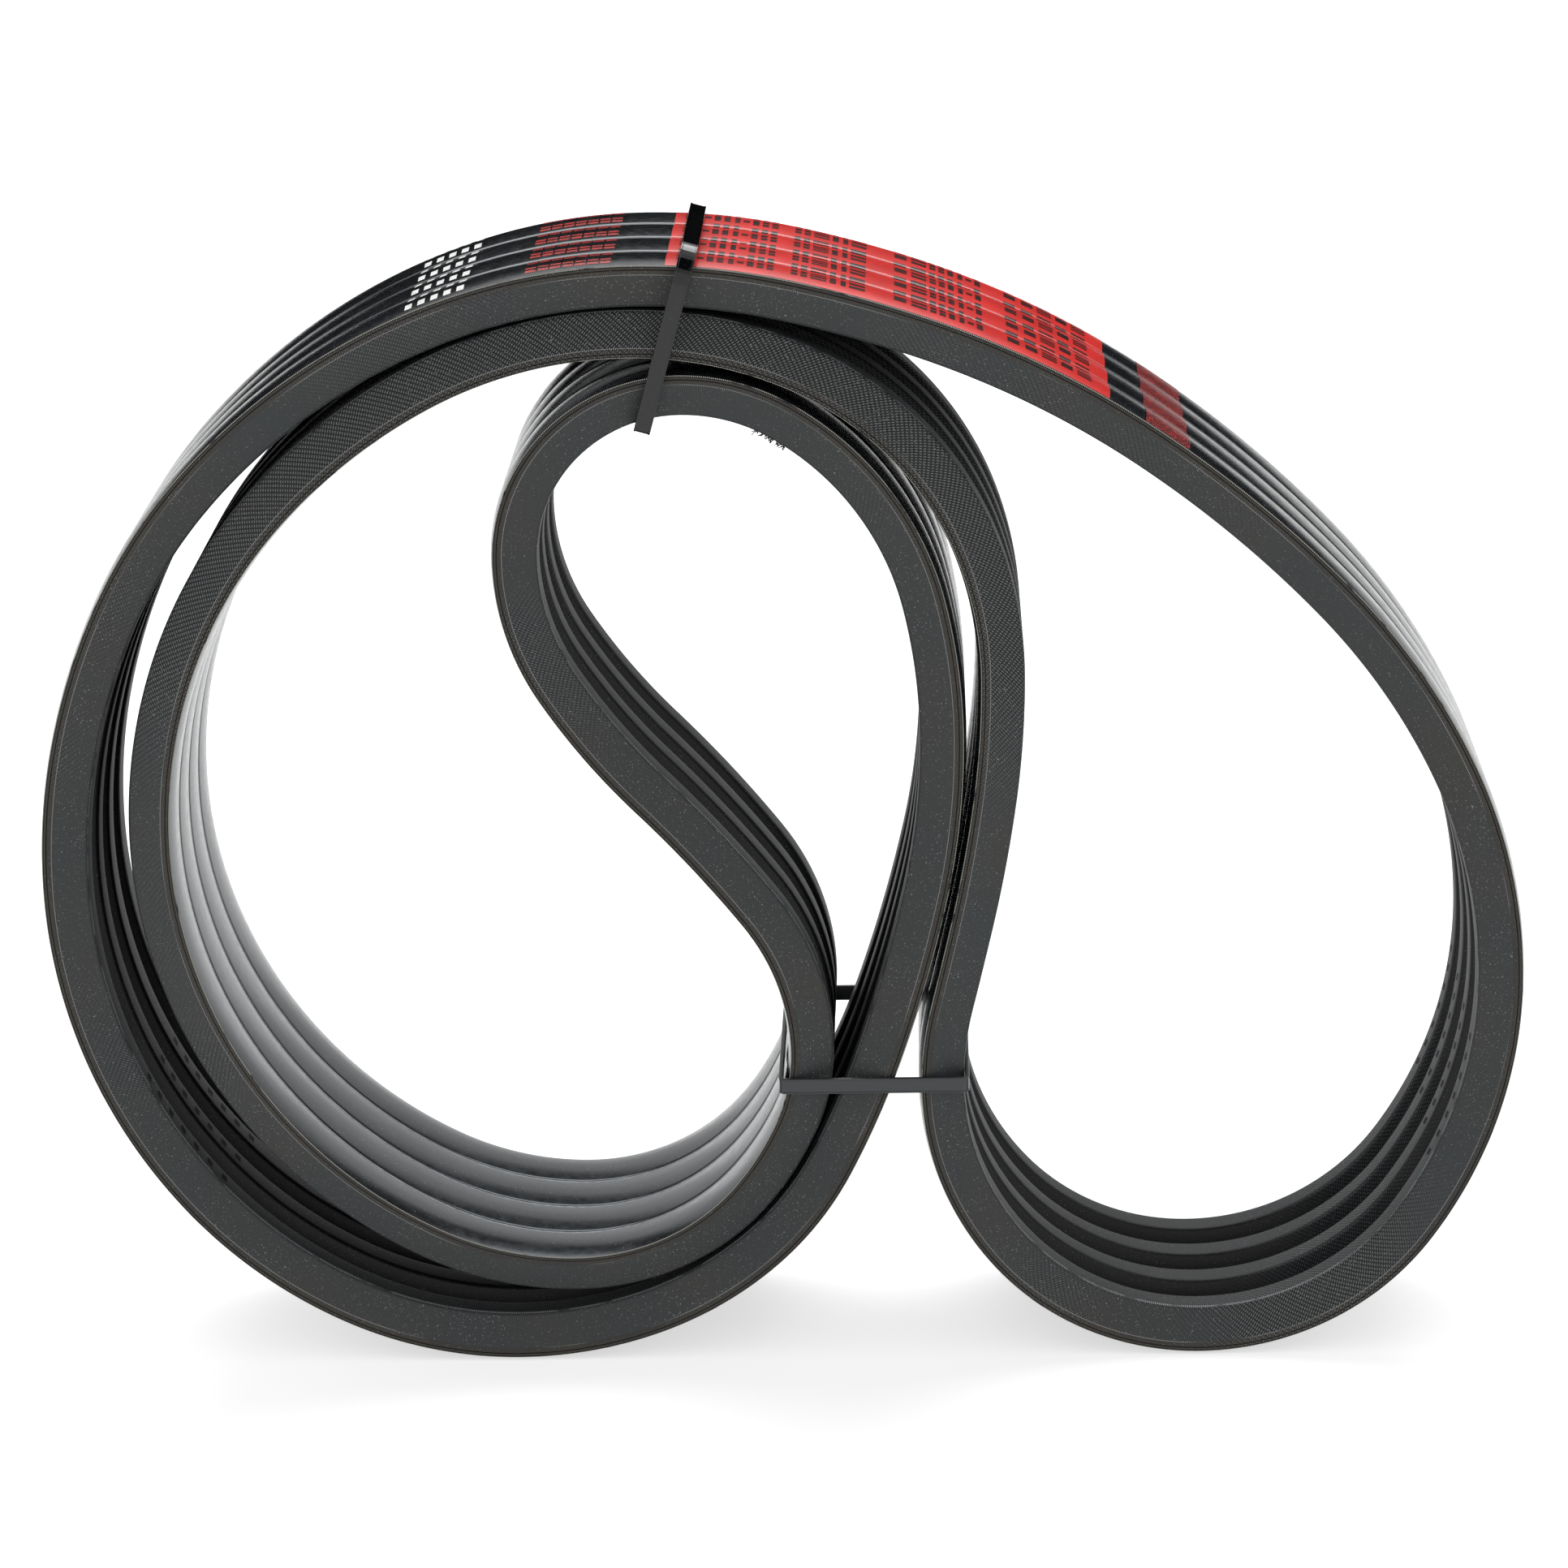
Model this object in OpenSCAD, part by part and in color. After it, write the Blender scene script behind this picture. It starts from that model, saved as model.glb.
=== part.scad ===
// Joined (banded) wrapped V-belt, B section, folded into three loops for
// storage and held by two nylon cable ties. It stands upright on the two
// lowest bends. X runs along the folded bundle, Y across the belt's width,
// Z up. The origin is on the floor, under the middle of the bundle.

/* [Belt section] */
// Distance between the centre lines of neighbouring ribs
rib_pitch = 19.05; // [18.6:0.05:20]
// Width of one rib at its top
rib_top_w = 17; // [16:0.1:18]
// Height of one rib with its cover
rib_h = 11.6; // [10:0.1:11.9]
// Slope of a rib's flank, from square to the belt's back
flank_angle = 20; // [16:1:21]
// Thickness of the fabric cover wrapped round each rib
cover_t = 0.7; // [0.5:0.1:1]
// Thickness of the tie band's outer ply, over the crowns
outer_ply_t = 1.2; // [0.9:0.1:1.3]
// Thickness of the tie band's inner ply
inner_ply_t = 0.8; // [0.6:0.1:0.9]
// Height of the crown that the back has over each rib
crown_h = 0.5; // [0.2:0.1:0.6]

/* [Tension cords] */
// Cords side by side in each rib
cord_count = 8; // [4:1:9]
// Thickness of a cord
cord_t = 0.9; // [0.6:0.1:1]
// Distance between neighbouring cords
cord_pitch = 1.55; // [1.3:0.05:1.6]
// Depth of the cord line under the rib's top
cord_depth = 2.1; // [2:0.1:2.4]
// Thickness of the cushion gum under the cords
cushion_t = 0.95; // [0.6:0.05:1.5]

/* [Cable ties] */
// Width of the strap
tie_w = 4.8; // [3.6:0.1:5]
// Thickness of the strap
tie_t = 1.2; // [1:0.1:1.3]
// Length of the head along the strap
head_l = 7.6; // [7.2:0.1:9]
// Depth of the head, outwards from the bundle
head_d = 5.6; // [5.2:0.1:7]
// Width of the head across the strap
head_w = 8; // [7.4:0.1:9]
// Length of the cut tail past the head
tail_l = 4; // [1:0.5:10]
// Distance between the strap's teeth
tooth_pitch = 1.1; // [0.9:0.1:1.3]
// Depth of the strap's teeth
tooth_d = 0.4; // [0.3:0.05:0.45]

/* [Hidden] */
rib_count = 4;
ply_gap = 0.1;      // between pieces that are bonded together
layer_gap = 0.2;    // between the cords and the gum on both sides
crown_flat = 0.3;   // flat share of a crown on each side of its middle
rib_top = cord_depth;
band_bottom = rib_top + ply_gap;
band_middle = band_bottom + inner_ply_t;
back = band_middle + ply_gap + outer_ply_t;    // cord line to the belt's back
rib_bottom = rib_top - rib_h;
belt_w = (rib_count - 1) * rib_pitch + rib_top_w;
cushion_top = -cord_t / 2 - layer_gap;
core_top = cushion_top - cushion_t - ply_gap;

// The way the cord line runs round the folded belt: [x, z, heading]. The
// heading is in degrees from +X towards +Z, with the belt's back on the right
// of the way and its ribs on the left. Two arcs join each pair of neighbours.
stations = [
  [-38, 338, 180],      // top of the outer ring
  [-133, 309, 213],
  [-196, 239, 244],
  [-216, 154, 270],     // its left side
  [-179, 51, 310],
  [-84, back, 0],       // its foot
  [-8, 32, 41],
  [31, 98, 71],         // middle strand in the lower tie
  [51, 199, 90],
  [29, 276, 128],
  [-26, 306, 180],      // top of the teardrop, lowest in the upper tie
  [-78, 254, 270],
  [-40, 180, 314],
  [5, 101, 270],        // left strand in the lower tie
  [-13, 56, 231],
  [-66, 31, 180],       // foot of the inner ring, which bends backwards
  [-144, 68, 134],
  [-184, 167, 90],      // its left side
  [-148, 265, 49],
  [-40, 318, 0],        // its top, middle strand in the upper tie
  [37, 286, 313],
  [63, 217, 270],
  [53, 139, 257],
  [44, 89, 270],        // right strand in the lower tie
  [124, back, 0],       // foot of the right loop
  [216, 119, 90],       // its right side
  [165, 240, 133],
  [46, 321, 160],
];

// ---- the way round: a closed chain of tangent arcs ----

function dir(h) = [cos(h), sin(h)];
function left_of(h) = [-sin(h), cos(h)];

// The point where the two arcs between a pair of stations meet
function meeting(p, hp, q, hq) =
  let (v = q - p, s = dir(hp) + dir(hq), k = 2 * (1 - dir(hp) * dir(hq)), b = v * s,
       d = (sqrt(b * b + k * (v * v)) - b) / k)
  (p + d * dir(hp) + q - d * dir(hq)) / 2;

// An arc from p to q that starts along h: [centre, signed radius, start and end heading]
function arc(p, h, q) =
  let (w = q - p, n = left_of(h), r = (w * w) / (2 * (n * w)), turn = 2 * atan2(n * w, dir(h) * w))
  [p + r * n, r, h, h + turn];

function at(i) = [stations[i][0], stations[i][1]];
function pair(i) =
  let (j = (i + 1) % len(stations), m = meeting(at(i), stations[i][2], at(j), stations[j][2]),
       first = arc(at(i), stations[i][2], m))
  [first, arc(m, first[3], at(j))];
way = [for (i = [0 : len(stations) - 1]) each pair(i)];

// Sweeps a profile along the way. The profile's x is measured from the cord
// line towards the belt's back and its y across the belt. Every second arc runs
// a little into its neighbours and is made with $tuck above zero, which its
// profile uses to be slightly slimmer, so that the arcs join into one solid.
tuck = 0.04;
run_in = 0.4;       // degrees
module sweep() {
  rotate([90, 0, 0])
    for (i = [0 : len(way) - 1]) {
      a = way[i];
      odd = i % 2;
      $tuck = odd * tuck;
      left = a[1] > 0;
      translate([a[0][0], a[0][1], 0])
        rotate((left ? a[2] - 90 : a[3] + 90) - odd * run_in)
          rotate_extrude(angle = abs(a[3] - a[2]) + 2 * odd * run_in, $fn = 96)
            translate([abs(a[1]), 0])
              mirror([left ? 0 : 1, 0])
                children();
    }
}

// ---- belt profiles ----

// Middle of a rib across the belt, counted from the front
function rib_middle(n) = belt_w / 2 - rib_top_w / 2 - (n - 1) * rib_pitch;
function half_w(u, inset) = rib_top_w / 2 - (rib_top - u) * tan(flank_angle) - inset / cos(flank_angle);

// Slice of a rib between two depths, with its flanks set in
module rib_slice(n, low, high, inset) {
  l = low + $tuck;
  h = high - $tuck;
  translate([0, rib_middle(n)])
    polygon([[l, -half_w(l, inset + $tuck)], [h, -half_w(h, inset + $tuck)],
             [h, half_w(h, inset + $tuck)], [l, half_w(l, inset + $tuck)]]);
}

module band_outer_profile() {
  edge = belt_w / 2 - $tuck;
  low = band_middle + ply_gap + $tuck;
  high = back - $tuck;
  flat = crown_flat * rib_pitch;
  crowns = [for (n = [rib_count : -1 : 1])
              each [[high, rib_middle(n) - flat], [high, rib_middle(n) + flat],
                    [high - crown_h, min(edge, rib_middle(n) + rib_pitch / 2)]]];
  polygon(concat([[low, edge], [low, -edge], [high - crown_h, -edge]], crowns));
}

module band_inner_profile() {
  translate([band_bottom + $tuck, -belt_w / 2 + $tuck])
    square([inner_ply_t - 2 * $tuck, belt_w - 2 * $tuck]);
}

// ---- belt pieces ----

module band_outer_ply() {
  color("#3d4043") sweep() band_outer_profile();
}

module band_inner_ply() {
  color("#4a4743") sweep() band_inner_profile();
}

module rib_cover(n) {
  color("#4b4f53")
    sweep()
      difference() {
        rib_slice(n, rib_bottom, rib_top, 0);
        hollow = -2 * $tuck;
        rib_slice(n, rib_bottom + cover_t + hollow, rib_top - cover_t - hollow, cover_t + hollow);
      }
}

module rib_top_gum(n) {
  color("#2a2a2c")
    sweep()
      rib_slice(n, cord_t / 2 + layer_gap, rib_top - cover_t - ply_gap, cover_t + ply_gap);
}

module rib_cords(n) {
  color("#d9d2c0")
    sweep()
      for (k = [0 : cord_count - 1])
        translate([0, rib_middle(n) + (k - (cord_count - 1) / 2) * cord_pitch])
          square(cord_t - 2 * $tuck, center = true);
}

module rib_cushion(n) {
  color("#26282a") sweep() rib_slice(n, cushion_top - cushion_t, cushion_top, cover_t + ply_gap);
}

module rib_core(n) {
  color("#1f2022") sweep() rib_slice(n, rib_bottom + cover_t + ply_gap, core_top, cover_t + ply_gap);
}

// ---- cable ties ----
// A tie is drawn round a bundle that lies along its own Z. The front of the
// bundle is towards -Y, and the head is at the back.

tie_clear = 0.25;                         // strap to the edges of the belt
half_d = belt_w / 2 + tie_clear;          // inside of the loop, half its depth
corner_r = 1.2;                           // inside of the loop's corners
bend_r = 1;                               // inside of the bend into the head
head_clear = 0.25;                        // head to the strap that passes under it
head_y = half_d + tie_t + head_clear;     // inner face of the head
slot_x = 1.2;                             // middle of the tail in the head
slot_clear = 0.15;                        // tail to the slot's back and sides
pawl_room = 2;                            // from the tail's teeth to the slot's other side
tooth_face = slot_x - tie_t / 2;          // face of the tail that has the teeth
slot_right = slot_x + tie_t / 2 + slot_clear;
slot_left = tooth_face - pawl_room;
slot_w = tie_w + 2 * slot_clear;
tooth_l = 0.8 * tooth_pitch;
hinge_r = 0.6;
hinge_clear = 0.08;
hinge_in = 0.35;                          // from the slot's side to the middle of the hinge
hinge_up = 1.1;                           // from the head's inner face to the middle of the hinge
hinge_x = slot_left + hinge_in;
hinge_y = head_y + hinge_up;
pawl_clear = 0.1;                         // pawl to the strap's teeth
pawl_w = tie_w - 4 * pawl_clear;
pawl_root = 0.3;                          // half of the pawl's thickness at its hinge
pawl_heel = 1.7;                          // from the hinge to the first and last tooth that it meets
pawl_reach = 2.9;                         // from the hinge to the end of the tongue
pawl_tip_t = 0.7;
root_in = 0.08;                           // how far the strap's root runs into the head

// Where the ties sit: [x, z, half of the inside length, tilt]
upper_place = [-29.5, 318, 25.35, 74];
lower_place = [26.4, 90.5, 27.45, 0];

module place(p) {
  translate([p[0], 0, p[1]]) rotate([0, -p[3], 0]) children();
}

// A block with rounded corners, centred on the loop
module block(a, b, r, h) {
  cube([2 * a, 2 * (b - r), h], center = true);
  cube([2 * (a - r), 2 * b, h], center = true);
  for (x = [-1, 1], y = [-1, 1])
    translate([x * (a - r), y * (b - r), 0])
      cylinder(r = r, h = h, center = true, $fn = 64);
}

// The loop, open at the head between its two ends
module loop(a) {
  bend_x = slot_x + tie_t / 2 + bend_r;
  difference() {
    block(a + tie_t, half_d + tie_t, corner_r + tie_t, tie_w);
    block(a, half_d, corner_r, 2 * tie_w);
    translate([slot_left, half_d - tie_t, -tie_w])
      cube([bend_x - slot_left, 3 * tie_t, 2 * tie_w]);
  }
}

// The end of the strap, bent outwards through the head and cut off
module tail() {
  top = head_y + head_d + tail_l;
  bend_x = slot_x + tie_t / 2 + bend_r;
  bend_y = half_d + tie_t + bend_r;
  translate([bend_x, bend_y, -tie_w / 2])
    rotate(180)
      rotate_extrude(angle = 90, $fn = 64)
        translate([bend_r, 0]) square([tie_t, tie_w]);
  difference() {
    translate([tooth_face, bend_y, -tie_w / 2]) cube([tie_t, top - bend_y, tie_w]);
    for (y = [bend_y + tooth_pitch : tooth_pitch : top - tooth_pitch])
      translate([tooth_face, y, -tie_w])
        linear_extrude(2 * tie_w)
          polygon([[-tooth_d, 0], [tooth_d, 0], [0, tooth_l], [-tooth_d, tooth_l]]);
  }
}

module head() {
  difference() {
    translate([-head_l / 2, head_y, -head_w / 2]) cube([head_l, head_d, head_w]);
    translate([slot_left, head_y - head_d, -slot_w / 2])
      cube([slot_right - slot_left, 3 * head_d, slot_w]);
    translate([hinge_x, hinge_y, 0])
      cylinder(r = hinge_r + hinge_clear, h = slot_w, center = true, $fn = 48);
  }
  // The root of the strap, which runs into the head
  translate([-head_l / 2, half_d, -tie_w / 2])
    cube([slot_left + head_l / 2, head_y - half_d + root_in, tie_w]);
}

module tie(p) {
  color("#101113")
    place(p) {
      loop(p[2]);
      tail();
      head();
    }
}

// The tongue in the head that locks the teeth, on its round hinge
module pawl(p) {
  tip_x = tooth_face - pawl_clear;
  color("#1b1c1e")
    place(p) {
      translate([hinge_x, hinge_y, 0]) cylinder(r = hinge_r, h = pawl_w, center = true, $fn = 48);
      translate([0, 0, -pawl_w / 2])
        linear_extrude(pawl_w)
          polygon([[hinge_x - pawl_root, hinge_y], [hinge_x + pawl_root, hinge_y - pawl_root],
                   [tip_x, hinge_y + pawl_heel], [tip_x, hinge_y + pawl_reach],
                   [tip_x - pawl_tip_t, hinge_y + pawl_reach]]);
    }
}

module upper_tie() { tie(upper_place); }
module upper_tie_pawl() { pawl(upper_place); }
module lower_tie() { tie(lower_place); }
module lower_tie_pawl() { pawl(lower_place); }

band_outer_ply();
band_inner_ply();
rib_cover(1);  // rib_1_cover
rib_top_gum(1);  // rib_1_top_gum
rib_cords(1);  // rib_1_cords
rib_cushion(1);  // rib_1_cushion
rib_core(1);  // rib_1_core
rib_cover(2);  // rib_2_cover
rib_top_gum(2);  // rib_2_top_gum
rib_cords(2);  // rib_2_cords
rib_cushion(2);  // rib_2_cushion
rib_core(2);  // rib_2_core
rib_cover(3);  // rib_3_cover
rib_top_gum(3);  // rib_3_top_gum
rib_cords(3);  // rib_3_cords
rib_cushion(3);  // rib_3_cushion
rib_core(3);  // rib_3_core
rib_cover(4);  // rib_4_cover
rib_top_gum(4);  // rib_4_top_gum
rib_cords(4);  // rib_4_cords
rib_cushion(4);  // rib_4_cushion
rib_core(4);  // rib_4_core
upper_tie();
upper_tie_pawl();
lower_tie();
lower_tie_pawl();
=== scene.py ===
"""Looks of a folded, banded V-belt held by two cable ties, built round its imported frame.

The belt's section is carried along the same chain of arcs as in the frame. Belt sizes are written in
millimetres and turned into metres where a mesh is made.
"""

import math
import random

import bpy
import numpy as np
from mathutils import Matrix, Vector


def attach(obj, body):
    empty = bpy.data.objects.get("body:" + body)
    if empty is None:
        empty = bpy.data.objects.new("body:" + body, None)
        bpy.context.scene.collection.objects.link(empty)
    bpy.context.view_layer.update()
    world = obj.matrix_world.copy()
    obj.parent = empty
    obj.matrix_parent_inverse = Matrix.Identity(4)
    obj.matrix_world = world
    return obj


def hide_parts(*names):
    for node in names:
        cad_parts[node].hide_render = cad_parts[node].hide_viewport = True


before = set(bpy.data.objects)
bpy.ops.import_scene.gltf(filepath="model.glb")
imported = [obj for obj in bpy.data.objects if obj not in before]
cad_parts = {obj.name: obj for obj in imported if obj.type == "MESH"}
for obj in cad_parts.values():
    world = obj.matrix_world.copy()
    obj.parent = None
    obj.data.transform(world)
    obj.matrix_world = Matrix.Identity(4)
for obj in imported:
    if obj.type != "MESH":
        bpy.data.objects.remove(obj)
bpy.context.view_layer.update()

MM = 0.001

# ---- sizes of the belt, as in the frame ----

RIB_COUNT = 4
RIB_PITCH = 19.05
RIB_TOP_W = 17.0
RIB_H = 11.6
FLANK_ANGLE = math.radians(20)
RIB_TOP = 2.1                   # all depths are from the cord line, towards the back
RIB_BOTTOM = RIB_TOP - RIB_H
BAND_BOTTOM = 2.2
BAND_MIDDLE = 3.0
BACK = 4.3
BELT_HALF_W = ((RIB_COUNT - 1) * RIB_PITCH + RIB_TOP_W) / 2

# The way the cord line runs round the folded belt: x, z and heading in degrees from +X towards +Z. The
# belt's back is on the right of the way. Two arcs join each pair of neighbours.
STATIONS = [
    (-38, 338, 180),        # top of the outer ring
    (-133, 309, 213),
    (-196, 239, 244),
    (-216, 154, 270),       # its left side
    (-179, 51, 310),
    (-84, BACK, 0),         # its foot
    (-8, 32, 41),
    (31, 98, 71),           # middle strand in the lower tie
    (51, 199, 90),
    (29, 276, 128),
    (-26, 306, 180),        # top of the teardrop, lowest in the upper tie
    (-78, 254, 270),
    (-40, 180, 314),
    (5, 101, 270),          # left strand in the lower tie
    (-13, 56, 231),
    (-66, 31, 180),         # foot of the inner ring, which bends backwards
    (-144, 68, 134),
    (-184, 167, 90),        # its left side
    (-148, 265, 49),
    (-40, 318, 0),          # its top, middle strand in the upper tie
    (37, 286, 313),
    (63, 217, 270),
    (53, 139, 257),
    (44, 89, 270),          # right strand in the lower tie
    (124, BACK, 0),         # foot of the right loop
    (216, 119, 90),         # its right side
    (165, 240, 133),
    (46, 321, 160),
]
STEP = 3.0                  # between neighbouring sections of a mesh

# ---- sizes of the cable ties, as in the frame ----

TIE_W = 4.8
TIE_T = 1.2
TIE_HALF_D = BELT_HALF_W + 0.25
TIE_CORNER_R = 1.2
TIE_BEND_R = 1.0
ROOT_X = -2.6               # where the strap leaves the head
SLOT_X = 1.2                # middle of the tail in the head
HEAD_L, HEAD_D, HEAD_W = 7.6, 5.6, 8.0
HEAD_Y = TIE_HALF_D + TIE_T + 0.25
SLOT_LEFT, SLOT_RIGHT, SLOT_W = -1.4, 1.95, 5.1
ROOT_BEND_R = 0.9           # the strap's bend where it leaves the head
BULGE_ROUND = 2.4           # how much a bulge broadens the bend, per millimetre
TAIL_L = 4.0
TOOTH_PITCH = 1.1
TOOTH_D = 0.4
# Where the ties sit: x, z, half of the inside length, tilt in degrees
UPPER_PLACE = (-29.5, 318, 25.35, 74)
LOWER_PLACE = (26.4, 90.5, 27.45, 0)


# ---- the way round ----

def direction(heading):
    return np.array([math.cos(heading), math.sin(heading)])


def left_of(heading):
    return np.array([-math.sin(heading), math.cos(heading)])


def meeting(p, hp, q, hq):
    """The point where the two arcs between a pair of stations meet."""
    v = q - p
    s = direction(hp) + direction(hq)
    k = 2 * (1 - direction(hp) @ direction(hq))
    b = v @ s
    d = (math.sqrt(b * b + k * (v @ v)) - b) / k
    return (p + d * direction(hp) + q - d * direction(hq)) / 2


def arc(p, heading, q):
    """Centre, signed radius and turn of the arc from p to q that starts along heading."""
    w = q - p
    n = left_of(heading)
    radius = (w @ w) / (2 * (n @ w))
    turn = 2 * math.atan2(n @ w, direction(heading) @ w)
    return p + radius * n, radius, turn


def way_round():
    """Points of the closed way, their headings, and the length up to each."""
    points, headings, lengths = [], [], []
    done = 0.0
    for i, (x, z, h) in enumerate(STATIONS):
        nx, nz, nh = STATIONS[(i + 1) % len(STATIONS)]
        p, hp = np.array([x, z], float), math.radians(h)
        q, hq = np.array([nx, nz], float), math.radians(nh)
        middle = meeting(p, hp, q, hq)
        start, heading = p, hp
        for end in (middle, q):
            centre, radius, turn = arc(start, heading, end)
            count = max(2, round(abs(radius * turn) / STEP))
            for k in range(count):
                at = heading + turn * k / count
                points.append(centre - radius * left_of(at))
                headings.append(at)
                lengths.append(done + abs(radius * turn) * k / count)
            done += abs(radius * turn)
            start, heading = end, heading + turn
    return np.array(points), np.array(headings), np.array(lengths), done


WAY, HEADINGS, LENGTHS, BELT_LENGTH = way_round()
UPRIGHT = Matrix.Rotation(math.radians(90), 4, "X")     # the way's plane to the frame's XZ


def along(x, z):
    """Length along the way at its nearest point to (x, z)."""
    return float(LENGTHS[int(np.argmin(np.hypot(WAY[:, 0] - x, WAY[:, 1] - z)))])


def section_at(length):
    """Point and heading of the way at any length, between its samples."""
    length = length % BELT_LENGTH
    i = int(np.searchsorted(LENGTHS, length, side="right")) - 1
    j = (i + 1) % len(LENGTHS)
    end = BELT_LENGTH if j == 0 else LENGTHS[j]
    t = (length - LENGTHS[i]) / (end - LENGTHS[i])
    turn = math.remainder(HEADINGS[j] - HEADINGS[i], math.tau)
    return WAY[i] * (1 - t) + WAY[j] * t, HEADINGS[i] + turn * t


# ---- outlines and meshes ----

def rounded(corners, radii, steps=5):
    """An outline with its corners replaced by tangent arcs. A radius of 0 keeps a corner as it is."""
    corners = [np.array(c, float) for c in corners]
    made = []
    for i, (corner, radius) in enumerate(zip(corners, radii)):
        if radius == 0:
            made.append(corner)
            continue
        before = corners[i - 1] - corner
        after = corners[(i + 1) % len(corners)] - corner
        a = before / np.linalg.norm(before)
        b = after / np.linalg.norm(after)
        half = math.acos(np.clip(a @ b, -1, 1)) / 2
        reach = radius / math.tan(half)
        middle = (a + b) / np.linalg.norm(a + b)
        centre = corner + middle * radius / math.sin(half)
        first = corner + a * reach - centre
        last = corner + b * reach - centre
        turn = math.atan2(first[0] * last[1] - first[1] * last[0], first @ last)
        for k in range(steps + 1):
            t = turn * k / steps
            c, s = math.cos(t), math.sin(t)
            made.append(centre + np.array([c * first[0] - s * first[1], s * first[0] + c * first[1]]))
    return np.array(made)


def counter_clockwise(outline):
    x, y = outline[:, 0], outline[:, 1]
    area = np.sum(x * np.roll(y, -1) - np.roll(x, -1) * y)
    return outline if area > 0 else outline[::-1]


def make_mesh(name, points, faces, uvs, materials, matrix, zones=None):
    """An object from points in millimetres, with one (u, v) for each corner of each face. zones has the
    number of the material of each face."""
    mesh = bpy.data.meshes.new(name)
    mesh.from_pydata((np.array(points) * MM).tolist(), [], faces)
    layer = mesh.uv_layers.new(name="lay")
    layer.data.foreach_set("uv", (np.array(uvs, float) * MM).ravel())
    placed = matrix.copy()
    placed.translation = placed.translation * MM
    mesh.transform(placed)
    for material in materials:
        mesh.materials.append(material)
    if zones:
        mesh.polygons.foreach_set("material_index", zones)
    mesh.shade_smooth()
    mesh.set_sharp_from_angle(angle=math.radians(38))
    made = bpy.data.objects.new(name, mesh)
    bpy.context.scene.collection.objects.link(made)
    return made


def sweep(name, way, headings, lengths, outline, materials, matrix, loop_length=None, zone=None):
    """Carries an outline (towards the right of the way, up) along a way in the XY plane.
    The outline may be a function of the number of the section. loop_length closes the way. zone gives
    the number of the material at a place of the outline."""
    outline_at = outline if callable(outline) else lambda i: outline
    sections = [counter_clockwise(outline_at(i)) for i in range(len(way))]
    across = len(sections[0])
    right = np.stack([np.sin(headings), -np.cos(headings)], 1)
    points = np.concatenate([
        np.column_stack([way[i] + np.outer(section[:, 0], right[i]), section[:, 1]])
        for i, section in enumerate(sections)
    ])
    steps = np.linalg.norm(np.diff(sections[0], axis=0, append=sections[0][:1]), axis=1)
    girth = np.concatenate([[0], np.cumsum(steps)])
    spans = len(way) if loop_length else len(way) - 1
    ends = list(lengths) + ([loop_length] if loop_length else [])
    middles = (sections[0] + np.roll(sections[0], -1, axis=0)) / 2
    zone_numbers = [zone(*middle) if zone else 0 for middle in middles]
    faces, uvs, zones = [], [], []
    for i in range(spans):
        n = (i + 1) % len(way)
        for j in range(across):
            k = (j + 1) % across
            faces.append((i * across + j, n * across + j, n * across + k, i * across + k))
            zones.append(zone_numbers[j])
            uvs += [(ends[i], girth[j]), (ends[i + 1], girth[j]),
                    (ends[i + 1], girth[j + 1]), (ends[i], girth[j + 1])]
    if not loop_length:
        last = (len(way) - 1) * across
        faces += [tuple(range(across)), tuple(range(last + across - 1, last - 1, -1))]
        uvs += [tuple(p) for p in sections[0]] + [tuple(p) for p in sections[-1][::-1]]
        zones += [0, 0]
    return make_mesh(name, points, faces, uvs, materials, matrix, zones)


# ---- materials ----

def ink(code):
    """Linear colour of an sRGB hex code."""
    parts = [int(code[i:i + 2], 16) / 255 for i in (1, 3, 5)]
    return (*[p / 12.92 if p <= 0.04045 else ((p + 0.055) / 1.055) ** 2.4 for p in parts], 1)


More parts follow.
